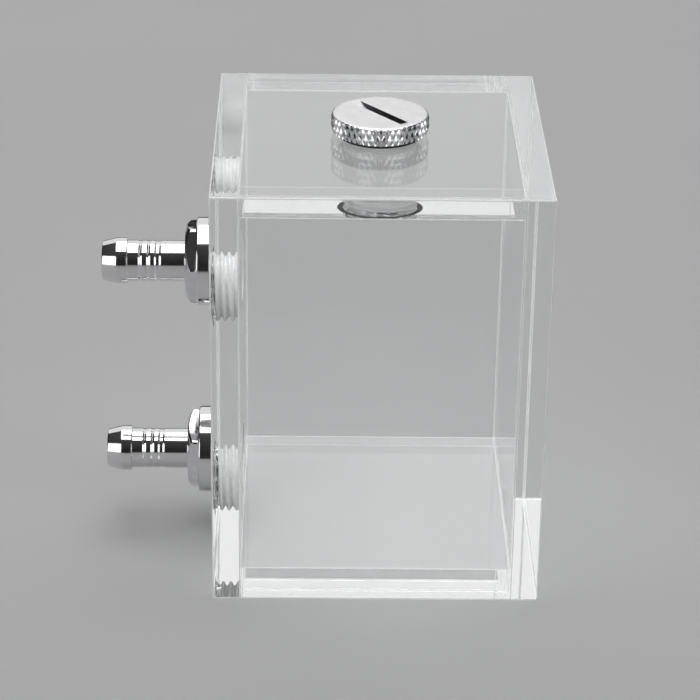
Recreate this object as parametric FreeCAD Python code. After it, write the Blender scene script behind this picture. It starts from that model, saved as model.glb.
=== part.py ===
import FreeCAD, Part
import math
import os

# Water cooling reservoir: a clear acrylic tank with two hose barbs and a screwed fill plug.
# Frame: origin at the middle of the underside, +Z up, -Y the front, -X the side with the barbs.
# All lengths are in millimetres.

# Tank, outside
TANK_WIDTH = 60.0
TANK_DEPTH = 62.0
TANK_HEIGHT = 80.0
SHEET = 5.0
BASE_SHEET = 4.65
EDGE_BREAK = 0.3

# G1/4 port thread, the same in all three ports
THREAD_MAJOR = 13.157
THREAD_CLEARANCE = 0.06
LOWER_PORT_HEIGHT = 14.8
UPPER_PORT_HEIGHT = 54.2

# Threaded shank below the flange or head of each fitting
SHANK_SHORT_OF_INSIDE = 0.4
SHANK_END_CHAMFER = 0.6

# Face seal: an O-ring round the shank, squeezed between a recess and the outside of the tank
SEAL_GAP = 0.8
SEAL_RECESS_DEPTH = 0.3
SEAL_RECESS_RADIUS = 7.9
SEAL_OUTER_RADIUS = 7.6
SEAL_INNER_FIT = 0.05
SEAL_FACE_CLEARANCE = 0.02
SEAL_SHOULDER = 0.3

# Fill plug
HEAD_RADIUS = 9.0
HEAD_HEIGHT = 3.2
HEAD_FLAT_RADIUS = 8.3
HEAD_TOP_CHAMFER = 0.35
HEAD_FOOT_CHAMFER = 0.25
KNURL_COUNT = 48
KNURL_LEVELS = 2
KNURL_DEPTH = 0.5
KNURL_FLOOR_MARGIN = 0.02
KNURL_RIM_LAP = 0.1
SLOT_LENGTH = 13.4
SLOT_WIDTH = 1.7
SLOT_DEPTH = 1.8
SLOT_ANGLE = -51.4

# Hose barb fitting, measured out from the side of the tank
FLANGE_RADIUS = 8.3
FLANGE_TOP = 3.55
FLANGE_EDGE = 0.3
HEX_ACROSS_FLATS = 14.0
HEX_CORNER_RADIUS = 8.0
HEX_LENGTH = 2.0
HEX_FACE_RADIUS = 6.65
HEX_CHAMFER_ANGLE = 37.0
STEM_RADIUS = 3.85
STEM_LENGTH = 10.8
LIP_RADIUS = 4.32
LIP_LENGTH = 1.95
CONE_LENGTH = 2.75
TIP_RADIUS = 3.63
FLOW_RADIUS = 2.8
GROOVE_DEPTH = 0.15
GROOVES_BELOW_LIP = ((2.4, 0.7), (3.95, 0.7), (5.65, 1.25))
UPPER_HEX_TURN = 20.5
LOWER_HEX_TURN = -5.7

# How far a cutter runs past the faces that it opens
CUT_PAST = 1.0

# Worked out from the values above
HALF_WIDTH = TANK_WIDTH / 2
HALF_DEPTH = TANK_DEPTH / 2
THREAD_RADIUS = THREAD_MAJOR / 2
PORT_RADIUS = THREAD_RADIUS + THREAD_CLEARANCE
SHANK_REACH = SHEET - SHANK_SHORT_OF_INSIDE
RECESS_TOP = SEAL_GAP + SEAL_RECESS_DEPTH
HEAD_TOP = SEAL_GAP + HEAD_HEIGHT
HEX_TOP = FLANGE_TOP + HEX_LENGTH
STEM_TOP = HEX_TOP + STEM_LENGTH
LIP_TOP = STEM_TOP + LIP_LENGTH
TIP = LIP_TOP + CONE_LENGTH

UP = FreeCAD.Vector(0, 0, 1)
CENTRE = FreeCAD.Vector(0, 0, 0)


def block(low, high):
    """Upright box between two opposite corners."""
    size = [b - a for a, b in zip(low, high)]
    return Part.makeBox(size[0], size[1], size[2], FreeCAD.Vector(*low))


def turned(outline):
    """Solid of revolution about Z from (radius, height) corners."""
    corners = [FreeCAD.Vector(radius, 0, height) for radius, height in outline]
    wire = Part.makePolygon(corners + corners[:1])
    return Part.Face(wire).revolve(CENTRE, UP, 360)


def to_left_side(shape, height):
    """Turns a fitting that stands on Z outwards and sets it on a port of the left wall."""
    placed = shape.copy()
    placed.rotate(CENTRE, FreeCAD.Vector(0, 1, 0), -90)
    placed.translate(FreeCAD.Vector(-HALF_WIDTH, 0, height))
    return placed


def to_top(shape):
    """Sets a fitting that stands on Z on the middle of the top plate."""
    placed = shape.copy()
    placed.translate(FreeCAD.Vector(0, 0, TANK_HEIGHT))
    return placed


def tank_outside():
    """Outside of the glued tank with its edges broken."""
    whole = block((-HALF_WIDTH, -HALF_DEPTH, 0), (HALF_WIDTH, HALF_DEPTH, TANK_HEIGHT))
    return whole.makeChamfer(EDGE_BREAK, whole.Edges)


def port():
    """Cutter for a port through one sheet."""
    inside = FreeCAD.Vector(0, 0, -SHEET - CUT_PAST)
    return Part.makeCylinder(PORT_RADIUS, SHEET + 2 * CUT_PAST, inside, UP)


def shank_outline(axis_radius):
    """Outline of shank and seal recess, from the end of the shank up to the mouth of the recess."""
    return [
        (axis_radius, -SHANK_REACH),
        (THREAD_RADIUS - SHANK_END_CHAMFER, -SHANK_REACH),
        (THREAD_RADIUS, SHANK_END_CHAMFER - SHANK_REACH),
        (THREAD_RADIUS, RECESS_TOP),
        (SEAL_RECESS_RADIUS, RECESS_TOP),
        (SEAL_RECESS_RADIUS, SEAL_GAP),
    ]


def seal_ring():
    """O-ring squeezed flat above, below and against the shank, with its outside bulging."""
    inner = THREAD_RADIUS + SEAL_INNER_FIT
    outer = SEAL_OUTER_RADIUS
    low = SEAL_FACE_CLEARANCE
    high = RECESS_TOP - SEAL_FACE_CLEARANCE
    middle = (low + high) / 2
    return turned([
        (inner, low),
        (outer - SEAL_SHOULDER, low),
        (outer, middle),
        (outer - SEAL_SHOULDER, high),
        (inner, high),
    ])


def knurled_band(root, crest, low, high):
    """Solid disc whose rim is a diamond knurl of pyramids, crest up, between two heights."""
    columns = 2 * KNURL_COUNT

    def corner(column, level):
        radius = crest if (column + level) % 2 == 0 else root
        angle = 2 * math.pi * (column % columns) / columns
        height = low + (high - low) * level / KNURL_LEVELS
        return FreeCAD.Vector(radius * math.cos(angle), radius * math.sin(angle), height)

    def face(corners):
        return Part.Face(Part.makePolygon(corners + corners[:1]))

    faces = []
    for level in range(KNURL_LEVELS):
        for column in range(columns):
            a = corner(column, level)
            b = corner(column + 1, level)
            c = corner(column + 1, level + 1)
            d = corner(column, level + 1)
            # each pyramid side lies between a crest and the valley line opposite it
            halves = ([a, b, d], [b, c, d])
            if (column + level) % 2:
                halves = ([a, b, c], [a, c, d])
            faces += [face(half) for half in halves]
    for level in (0, KNURL_LEVELS):
        faces.append(face([corner(column, level) for column in range(columns)]))
    return Part.makeSolid(Part.makeShell(faces))


def coin_slot():
    """Cutter for the slot: a thin disc, as a saw plunges it."""
    saw_radius = (SLOT_LENGTH ** 2 / 4 + SLOT_DEPTH ** 2) / (2 * SLOT_DEPTH)
    saw_centre = FreeCAD.Vector(0, -SLOT_WIDTH / 2, HEAD_TOP - SLOT_DEPTH + saw_radius)
    saw = Part.makeCylinder(saw_radius, SLOT_WIDTH, saw_centre, FreeCAD.Vector(0, 1, 0))
    saw.rotate(CENTRE, UP, SLOT_ANGLE)
    return saw


def fill_plug():
    """Screw plug with a knurled head and a coin slot, standing on its thread."""
    band_low = SEAL_GAP + HEAD_FOOT_CHAMFER
    band_high = HEAD_TOP - HEAD_TOP_CHAMFER
    root = HEAD_RADIUS - KNURL_DEPTH
    core = root * math.cos(math.pi / KNURL_COUNT) - KNURL_FLOOR_MARGIN
    body = turned(shank_outline(0) + [
        (core - HEAD_FOOT_CHAMFER, SEAL_GAP),
        (core, band_low),
        (core, band_high),
        (HEAD_FLAT_RADIUS, HEAD_TOP),
        (0, HEAD_TOP),
    ])
    ring = knurled_band(root, HEAD_RADIUS, band_low, band_high)
    rim = ring.cut(Part.makeCylinder(core - KNURL_RIM_LAP, HEAD_TOP, CENTRE, UP))
    return body.fuse(rim).cut(coin_slot()).removeSplitter()


def hexagon(turn):
    """Hexagon above the flange, milled on a turned blank that rounds and chamfers its corners."""
    sharp_radius = HEX_ACROSS_FLATS / 2 / math.cos(math.radians(30))
    corners = []
    for step in range(6):
        angle = math.radians(60 * step - turn)
        corners.append(FreeCAD.Vector(
            sharp_radius * math.cos(angle), sharp_radius * math.sin(angle), FLANGE_TOP
        ))
    prism = Part.Face(Part.makePolygon(corners + corners[:1])).extrude(UP * HEX_LENGTH)
    drop = (HEX_CORNER_RADIUS - HEX_FACE_RADIUS) * math.tan(math.radians(HEX_CHAMFER_ANGLE))
    blank = turned([
        (0, FLANGE_TOP),
        (HEX_CORNER_RADIUS, FLANGE_TOP),
        (HEX_CORNER_RADIUS, HEX_TOP - drop),
        (HEX_FACE_RADIUS, HEX_TOP),
        (0, HEX_TOP),
    ])
    return prism.common(blank)


def stem_outline():
    """Outline of the stem from the hexagon up to the lip, with its grooves."""
    floor = STEM_RADIUS - GROOVE_DEPTH
    corners = [(STEM_RADIUS, FLANGE_TOP)]
    for below_lip, width in sorted(GROOVES_BELOW_LIP, reverse=True):
        middle = STEM_TOP - below_lip
        corners += [
            (STEM_RADIUS, middle - width / 2),
            (floor, middle),
            (STEM_RADIUS, middle + width / 2),
        ]
    return corners + [(STEM_RADIUS, STEM_TOP)]


def barb_fitting(hex_turn):
    """Hose barb with hexagon, flange, threaded shank and an open bore, standing on its thread."""
    body = turned(shank_outline(0) + [
        (FLANGE_RADIUS, SEAL_GAP),
        (FLANGE_RADIUS, FLANGE_TOP - FLANGE_EDGE),
        (FLANGE_RADIUS - FLANGE_EDGE, FLANGE_TOP),
    ] + stem_outline() + [
        (LIP_RADIUS, STEM_TOP),
        (LIP_RADIUS, LIP_TOP),
        (TIP_RADIUS, TIP),
        (0, TIP),
    ])
    body = body.fuse(hexagon(hex_turn))
    inside = FreeCAD.Vector(0, 0, -SHANK_REACH - CUT_PAST)
    bore = Part.makeCylinder(FLOW_RADIUS, SHANK_REACH + TIP + 2 * CUT_PAST, inside, UP)
    return body.cut(bore).removeSplitter()


def tank_sheets():
    """The six glued sheets: full side walls, front and back between them, top and bottom inside."""
    inner_x = HALF_WIDTH - SHEET
    inner_y = HALF_DEPTH - SHEET
    outside = tank_outside()
    sheets = {
        "left_wall": block((-HALF_WIDTH, -HALF_DEPTH, 0), (-inner_x, HALF_DEPTH, TANK_HEIGHT)),
        "right_wall": block((inner_x, -HALF_DEPTH, 0), (HALF_WIDTH, HALF_DEPTH, TANK_HEIGHT)),
        "front_wall": block((-inner_x, -HALF_DEPTH, 0), (inner_x, -inner_y, TANK_HEIGHT)),
        "back_wall": block((-inner_x, inner_y, 0), (inner_x, HALF_DEPTH, TANK_HEIGHT)),
        "top_plate": block(
            (-inner_x, -inner_y, TANK_HEIGHT - SHEET), (inner_x, inner_y, TANK_HEIGHT)
        ),
        "bottom_plate": block((-inner_x, -inner_y, 0), (inner_x, inner_y, BASE_SHEET)),
    }
    sheets = {name: sheet.common(outside) for name, sheet in sheets.items()}
    for height in (LOWER_PORT_HEIGHT, UPPER_PORT_HEIGHT):
        sheets["left_wall"] = sheets["left_wall"].cut(to_left_side(port(), height))
    sheets["top_plate"] = sheets["top_plate"].cut(to_top(port()))
    return sheets


def reservoir():
    """Every piece of the reservoir by name."""
    pieces = tank_sheets()
    pieces["fill_plug"] = to_top(fill_plug())
    pieces["fill_plug_o_ring"] = to_top(seal_ring())
    fittings = (
        ("upper", UPPER_PORT_HEIGHT, UPPER_HEX_TURN),
        ("lower", LOWER_PORT_HEIGHT, LOWER_HEX_TURN),
    )
    for side, height, hex_turn in fittings:
        pieces[side + "_barb_fitting"] = to_left_side(barb_fitting(hex_turn), height)
        pieces[side + "_fitting_o_ring"] = to_left_side(seal_ring(), height)
    return pieces


os.makedirs("parts", exist_ok=True)
for node, shape in reservoir().items():
    shape.exportStep("parts/" + node + ".step")
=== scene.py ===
"""Looks for a clear acrylic water cooling reservoir with two hose barbs and a fill plug."""

import json
import logging
import math
from collections.abc import Sequence
from dataclasses import dataclass, field
from enum import Enum, IntEnum

import bmesh
import bpy
from mathutils import Matrix, Vector


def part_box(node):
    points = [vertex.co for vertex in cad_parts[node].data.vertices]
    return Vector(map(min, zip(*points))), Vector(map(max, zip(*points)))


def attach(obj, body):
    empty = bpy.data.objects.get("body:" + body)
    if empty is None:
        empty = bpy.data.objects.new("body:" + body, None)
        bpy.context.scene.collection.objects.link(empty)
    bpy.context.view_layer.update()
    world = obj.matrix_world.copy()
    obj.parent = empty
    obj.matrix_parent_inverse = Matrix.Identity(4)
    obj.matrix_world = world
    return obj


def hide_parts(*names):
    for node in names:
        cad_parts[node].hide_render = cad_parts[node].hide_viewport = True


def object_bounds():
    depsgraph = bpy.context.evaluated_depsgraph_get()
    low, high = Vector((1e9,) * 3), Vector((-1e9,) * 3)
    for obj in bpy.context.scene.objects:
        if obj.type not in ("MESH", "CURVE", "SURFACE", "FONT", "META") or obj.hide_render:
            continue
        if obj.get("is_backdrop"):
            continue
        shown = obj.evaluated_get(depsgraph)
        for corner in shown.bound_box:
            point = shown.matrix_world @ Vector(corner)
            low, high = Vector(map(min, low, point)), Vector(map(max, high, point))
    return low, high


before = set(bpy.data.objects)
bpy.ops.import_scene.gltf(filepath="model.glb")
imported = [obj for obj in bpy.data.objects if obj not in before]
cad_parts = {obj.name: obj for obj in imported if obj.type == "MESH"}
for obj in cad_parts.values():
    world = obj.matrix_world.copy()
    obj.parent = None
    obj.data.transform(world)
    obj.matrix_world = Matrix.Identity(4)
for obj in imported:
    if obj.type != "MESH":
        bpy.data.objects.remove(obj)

Colour = tuple[float, float, float]
Point = tuple[float, float, float]
Span = tuple[float, float]

LOG = logging.getLogger("reservoir")
MM = 0.001
FULL_TURN = 2 * math.pi
SIXTH_TURN = math.radians(60)

# Names of the marks on the meshes' faces, points and edges.
ZONE = "zone"
PATTERN = "pattern"
BEVEL_WEIGHT = "bevel_weight_edge"

# A ring of a smaller radius, in millimetres, is a single point on the axis.
ON_AXIS = 1e-6
# Places closer than this, in metres, are the same.
SAME_PLACE = 1e-6
TINY = 1e-9
# A face looks along an axis if its normal has more than this along it.
SQUARE_ON = 0.99
# The large faces of a sheet reach further than this from their middle, in metres.
LARGE_FACE = 20 * MM
# Edges that turn by more than these angles are shaded sharp, broken on a sheet or polished.
SHARP_ANGLE = math.radians(32)
SQUARE_EDGE = math.radians(80)
MILLED_EDGE = math.radians(25)

BEVEL_STEPS = 3
BEAD_SIDES = 10
NOISE_DETAIL = 3.0
NOISE_RANGE = (0.3, 0.7)
# Shares of a flank between which a thread falls in a soft curve from its crest to its root.
FLANK_RANGE = (0.1, 0.9)
# The ring texture runs through this many radians in a metre at a scale of 1.
WAVE_RADIANS = 20.0


class Zone(IntEnum):
    """Runs of a turned outline that carry a pattern or a finish of their own."""

    PLAIN = 0
    THREAD = 1
    KNURL = 2
    HEXAGON = 3
    TOP_FACE = 4
    MOUTH = 5


class SheetFace(IntEnum):
    """Faces of an acrylic sheet, by the index of their finish."""

    OPEN = 0
    TAPPED = 1
    JOINT = 2
    EDGE = 3
    CUT = 4


class Side(Enum):
    """The two ports in the left wall, by the names of their bodies and nodes."""

    UPPER = "upper"
    LOWER = "lower"


class NodeBuilder:
    """Adds nodes to a shader or geometry tree and wires them."""

    def __init__(self, tree: bpy.types.NodeTree) -> None:
        """Keeps the tree that nodes are added to."""
        self.tree = tree

    def add(self, kind: str, settings: dict | None = None, **terms: object) -> bpy.types.Node:
        """Adds one node and fills its inputs.

        Args:
            kind: the node's type name.
            settings: plain properties of the node, by name.
            **terms: inputs by name with underscores for spaces; a socket is linked, a value is set.

        Returns:
            The new node.
        """
        node = self.tree.nodes.new(kind)
        for key, value in (settings or {}).items():
            setattr(node, key, value)
        for key, term in terms.items():
            self.feed(node.inputs[key.replace("_", " ")], term)
        return node

    def feed(self, socket: bpy.types.NodeSocket, term: object) -> None:
        """Links or sets one input.

        Args:
            socket: the input.
            term: a socket to link from, or a plain value.
        """
        if isinstance(term, bpy.types.NodeSocket):
            self.tree.links.new(term, socket)
        else:
            socket.default_value = term

    def maths(self, operation: str, *terms: object) -> bpy.types.NodeSocket:
        """Adds a Math node.

        Args:
            operation: the operation's name.
            *terms: its inputs in order.

        Returns:
            The node's output.
        """
        node = self.add("ShaderNodeMath", {"operation": operation})
        for socket, term in zip(node.inputs, terms):
            self.feed(socket, term)
        return node.outputs[0]


class SurfaceBuilder(NodeBuilder):
    """Adds the nodes that the finishes share."""

    def cloud(self, scale: float, low: float, high: float) -> bpy.types.NodeSocket:
        """Soft noise over the piece, mapped to a range.

        Args:
            scale: noise cells per metre.
            low: value in the hollows of the noise.
            high: value on its peaks.

        Returns:
            The mapped noise.
        """
        place = self.add("ShaderNodeTexCoord").outputs["Object"]
        noise = self.add("ShaderNodeTexNoise", Vector=place, Scale=scale, Detail=NOISE_DETAIL)
        span = self.add(
            "ShaderNodeMapRange",
            Value=noise.outputs["Fac"],
            From_Min=NOISE_RANGE[0],
            From_Max=NOISE_RANGE[1],
            To_Min=low,
            To_Max=high,
        )
        return span.outputs["Result"]

    def mottle(self, scale: float, one: Colour, two: Colour) -> bpy.types.NodeSocket:
        """Mixes two colours in soft patches.

        Args:
            scale: noise cells per metre.
            one: colour in the hollows of the noise.
            two: colour on its peaks.

        Returns:
            The mixed colour.
        """
        ramp = self.add("ShaderNodeValToRGB", Fac=self.cloud(scale, 0.0, 1.0))
        for end, colour in zip(ramp.color_ramp.elements, (one, two)):
            end.color = (*colour, 1.0)
        return ramp.outputs["Color"]

    def mixed(
        self, share: bpy.types.NodeSocket, one: bpy.types.Node, two: bpy.types.Node
    ) -> bpy.types.NodeSocket:
        """Mixes two shaders.

        Args:
            share: how much of the second shader.
            one: first shader.
            two: second shader.

        Returns:
            The mixed shader output.
        """
        mix = self.add("ShaderNodeMixShader", Fac=share)
        for socket, shader in zip(mix.inputs[1:], (one, two)):
            self.feed(socket, shader.outputs[0])
        return mix.outputs[0]


@dataclass(frozen=True)
class Finish:
    """What every finish of the reservoir has: a name and a way to make its material."""

    name: str

    def material(self) -> bpy.types.Material:
        """Makes the material, or gives back the one already made.

        Returns:
            The material of this finish.
        """
        made = bpy.data.materials.get(self.name)
        if made is not None:
            return made
        made = bpy.data.materials.new(self.name)
        made.use_nodes = True
        made.node_tree.nodes.clear()
        build = SurfaceBuilder(made.node_tree)
        build.add("ShaderNodeOutputMaterial", Surface=self.surface(build))
        return made

    def surface(self, build: SurfaceBuilder) -> bpy.types.NodeSocket:
        """Builds the nodes of the surface and gives back the shader output."""
        raise NotImplementedError


@dataclass(frozen=True)
class ClearAcrylic(Finish):
    """Acrylic open to the air: polished sheet, or frosted where a tap has cut it."""

    name: str = "clear_acrylic_sheet"
    dull: Span = (0.0, 0.012)
    clear: float = 1.0
    grain: float = 90.0
    finer: float = 3.0
    pale: Colour = (0.985, 0.99, 0.99)
    paler: Colour = (0.995, 0.998, 0.998)
    refraction: float = 1.49

    def surface(self, build: SurfaceBuilder) -> bpy.types.NodeSocket:
        """Refracting shader that lets lamps through, with faint wear in its gloss.

        Args:
            build: the builder of the material's tree.

        Returns:
            The shader output.
        """
        colour = build.mottle(self.grain, self.pale, self.paler)
        sheet = build.add(
            "ShaderNodeBsdfPrincipled",
            Base_Color=colour,
            Roughness=build.cloud(self.grain * self.finer, *self.dull),
            IOR=self.refraction,
            Transmission_Weight=self.clear,
        )
        lamp = build.add("ShaderNodeBsdfTransparent", Color=colour)
        path = build.add("ShaderNodeLightPath")
        return build.mixed(path.outputs["Is Shadow Ray"], sheet, lamp)


@dataclass(frozen=True)
class CementedJoint(Finish):
    """Face glued with solvent: the acrylic runs on through it, with a trace of haze."""

    name: str = "cemented_joint"
    haze: Span = (0.02, 0.07)
    grain: float = 250.0
    film: Colour = (0.9, 0.92, 0.92)

    def surface(self, build: SurfaceBuilder) -> bpy.types.NodeSocket:
        """Clear passage with a thin cloudy film.

        Args:
            build: the builder of the material's tree.

        Returns:
            The shader output.
        """
        through = build.add("ShaderNodeBsdfTransparent")
        cloudy = build.add("ShaderNodeBsdfDiffuse", Color=(*self.film, 1.0))
        return build.mixed(build.cloud(self.grain, *self.haze), through, cloudy)


@dataclass(frozen=True)
class ChromedBrass(Finish):
    """Bright chrome over turned brass, with a fine grain."""

    name: str = "chromed_brass"
    bright: Colour = (0.83, 0.83, 0.84)
    deep: Colour = (0.74, 0.74, 0.755)
    dull: Span = (0.03, 0.08)
    grain: float = 600.0
    finer: float = 2.0
    bump: float = 0.004
    bump_finer: float = 6.0

    def surface(self, build: SurfaceBuilder) -> bpy.types.NodeSocket:
        """Metal with cloudy gloss and a fine bump."""
        return self.metal(build, build.cloud(self.grain * self.bump_finer, 0.0, 1.0))

    def metal(self, build: SurfaceBuilder, height: bpy.types.NodeSocket) -> bpy.types.NodeSocket:
        """Mottled metal with a bump.

        Args:
            build: the builder of the material's tree.
            height: the bump's height.

        Returns:
            The shader output.
        """
        relief = build.add("ShaderNodeBump", Strength=self.bump, Distance=MM, Height=height)
        made = build.add(
            "ShaderNodeBsdfPrincipled",
            Base_Color=build.mottle(self.grain, self.deep, self.bright),
            Metallic=1.0,
            Roughness=build.cloud(self.grain * self.finer, *self.dull),
            Normal=relief.outputs["Normal"],
        )
        return made.outputs[0]


@dataclass(frozen=True)
class FacedChrome(ChromedBrass):
    """Chrome over a face turned on the lathe: a satin with rings about the upright axis."""

    name: str = "faced_chrome"
    bright: Colour = (0.8, 0.8, 0.81)
    deep: Colour = (0.75, 0.75, 0.76)
    dull: Span = (0.3, 0.38)
    finer: float = 1.0
    bump: float = 0.05
    ring_pitch: float = FULL_TURN * 0.12 * MM
    ring_waver: float = 0.4

    def surface(self, build: SurfaceBuilder) -> bpy.types.NodeSocket:
        """Satin metal with the lathe's rings as its bump.

        Args:
            build: the builder of the material's tree.

        Returns:
            The shader output.
        """
        place = build.add("ShaderNodeTexCoord").outputs["Object"]
        rings = build.add(
            "ShaderNodeTexWave",
            {"wave_type": "RINGS", "rings_direction": "Z"},
            Vector=place,
            Scale=FULL_TURN / self.ring_pitch / WAVE_RADIANS,
            Distortion=self.ring_waver,
        )
        return self.metal(build, rings.outputs["Fac"])


@dataclass(frozen=True)
class SealRubber(Finish):
    """Black nitrile rubber."""

    name: str = "seal_rubber"
    black: Colour = (0.012, 0.012, 0.013)
    grey: Colour = (0.03, 0.03, 0.032)
    dull: Span = (0.42, 0.6)
    grain: float = 2500.0
    finer: float = 2.0

    def surface(self, build: SurfaceBuilder) -> bpy.types.NodeSocket:
        """Dull black with a fine mottle.

        Args:
            build: the builder of the material's tree.

        Returns:
            The shader output.
        """
        rubber = build.add(
            "ShaderNodeBsdfPrincipled",
            Base_Color=build.mottle(self.grain, self.black, self.grey),
            Roughness=build.cloud(self.grain * self.finer, *self.dull),
        )
        return rubber.outputs[0]


@dataclass(frozen=True)
class StudioFloor(Finish):
    """Pale seamless floor."""

    name: str = "studio_floor"
    light: Colour = (0.44, 0.44, 0.445)
    lighter: Colour = (0.46, 0.46, 0.465)
    dull: float = 0.75
    grain: float = 9.0

    def surface(self, build: SurfaceBuilder) -> bpy.types.NodeSocket:
        """Matt paper with hardly any mottle."""
        colour = build.mottle(self.grain, self.light, self.lighter)
        return build.add("ShaderNodeBsdfPrincipled", Base_Color=colour, Roughness=self.dull).outputs[0]


TAPPED_FINISH = ClearAcrylic(
    name="tapped_acrylic",
    dull=(0.3, 0.5),
    clear=0.15,
    grain=900.0,
    pale=(0.74, 0.75, 0.75),
    paler=(0.82, 0.83, 0.83),
)
SHEET_FINISHES = {
    SheetFace.OPEN: ClearAcrylic(),
    SheetFace.TAPPED: TAPPED_FINISH,
    SheetFace.JOINT: CementedJoint(),
    # Painted highlight: the broken edges take a whiter, partly frosted acrylic, so that they show as the
    # bright lines of polished edges.
    SheetFace.EDGE: ClearAcrylic(
        name="edge_painted_highlight", dull=(0.12, 0.25), clear=0.35, grain=600.0, pale=(0.95, 0.96, 0.96)
    ),
    SheetFace.CUT: ClearAcrylic(name="cut_edge", dull=(0.12, 0.2), grain=400.0),
}
CEMENT_FINISH = ClearAcrylic(
    name="cement_bead", dull=(0.15, 0.25), clear=0.8, grain=60.0, pale=(0.95, 0.96, 0.96)
)
CHROME_FINISH = ChromedBrass()
THREAD_FINISH = ChromedBrass(name="chromed_thread", dull=(0.1, 0.2))
KNURL_FINISH = ChromedBrass(name="knurled_chrome", dull=(0.12, 0.22))
HEXAGON_FINISH = ChromedBrass(name="milled_chrome", dull=(0.04, 0.1))
# Painted shade: a near-black copy of the chrome on the slot's walls, standing in for the shade and dark
# reflections inside the slot.
SLOT_WALL_PAINTED_SHADE = ChromedBrass(
    name="slot_wall_painted_shade", bright=(0.1, 0.1, 0.105), deep=(0.05, 0.05, 0.055), dull=(0.35, 0.5)
)
# Painted light: a satin chrome lighter than the rest of the plug on the slot's floor, standing in for the
# light it catches.
SLOT_FLOOR_PAINTED_LIGHT = ChromedBrass(
    name="slot_floor_painted_light", bright=(0.86, 0.86, 0.87), deep=(0.8, 0.8, 0.81), dull=(0.42, 0.5)
)
FACE_FINISH = FacedChrome()
RUBBER_FINISH = SealRubber()


def put_in_scene(name: str, data: bpy.types.ID) -> bpy.types.Object:
    """Makes an object and links it to the scene.

    Args:
        name: name of the object.
        data: its mesh, lamp or camera.

    Returns:
        The object.
    """
    made = bpy.data.objects.new(name, data)
    bpy.context.scene.collection.objects.link(made)
    return made


def mesh_of(work: bmesh.types.BMesh, name: str) -> bpy.types.Mesh:
    """Turns an editing mesh into a plain one.

    Args:
        work: the editing mesh, which is used up.
        name: name of the new mesh.

    Returns:
        The plain mesh.
    """
    mesh = bpy.data.meshes.new(name)
    work.to_mesh(mesh)
    work.free()
    return mesh


def modified(
    mesh: bpy.types.Mesh, kind: str, settings: dict[str, object], inputs: dict[str, object] | None = None
) -> bpy.types.Mesh:
    """Runs one modifier over a mesh.

    Args:
        mesh: the mesh, which is used up.
        kind: type of the modifier.
        settings: its properties by name.
        inputs: values for a geometry tree, by socket identifier.

    Returns:
        The result as a plain mesh, with no modifier left.
    """
    carrier = put_in_scene(mesh.name, mesh)
    modifier = carrier.modifiers.new(kind, kind)
    for key, value in settings.items():
        setattr(modifier, key, value)
    for key, value in (inputs or {}).items():
        modifier[key] = value
    bpy.context.view_layer.update()
    graph = bpy.context.evaluated_depsgraph_get()
    made = bpy.data.meshes.new_from_object(carrier.evaluated_get(graph))
    bpy.data.objects.remove(carrier)
    bpy.data.meshes.remove(mesh)
    return made


def bevelled(mesh: bpy.types.Mesh, width: float, finish_index: int = -1) -> bpy.types.Mesh:
    """Rounds the edges of a mesh that carry a bevel weight.

    Args:
        mesh: the mesh, which is used up.
        width: width of the bevel on an edge of full weight, in metres.
        finish_index: material index of the bevels, or -1 for that of the faces beside them.

    Returns:
        The mesh with its edges rounded.
    """
    return modified(mesh, "BEVEL", {
        "limit_method": "WEIGHT",
        "width": width,
        "segments": BEVEL_STEPS,
        "material": finish_index,
        "use_clamp_overlap": True,
    })


@dataclass(frozen=True)
class Corner:
    """Corner of a turned outline, and the run that starts there.

    Attributes:
        radius: distance from the axis in millimetres.
        height: place along the axis in millimetres.
        blend: radius that rounds the corner, or 0.
        zone: zone of the run to the next corner.
        step: longest step along that run, or 0 for a single step.
    """

    radius: float
    height: float
    blend: float = 0.0
    zone: Zone = Zone.PLAIN
    step: float = 0.0


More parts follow.
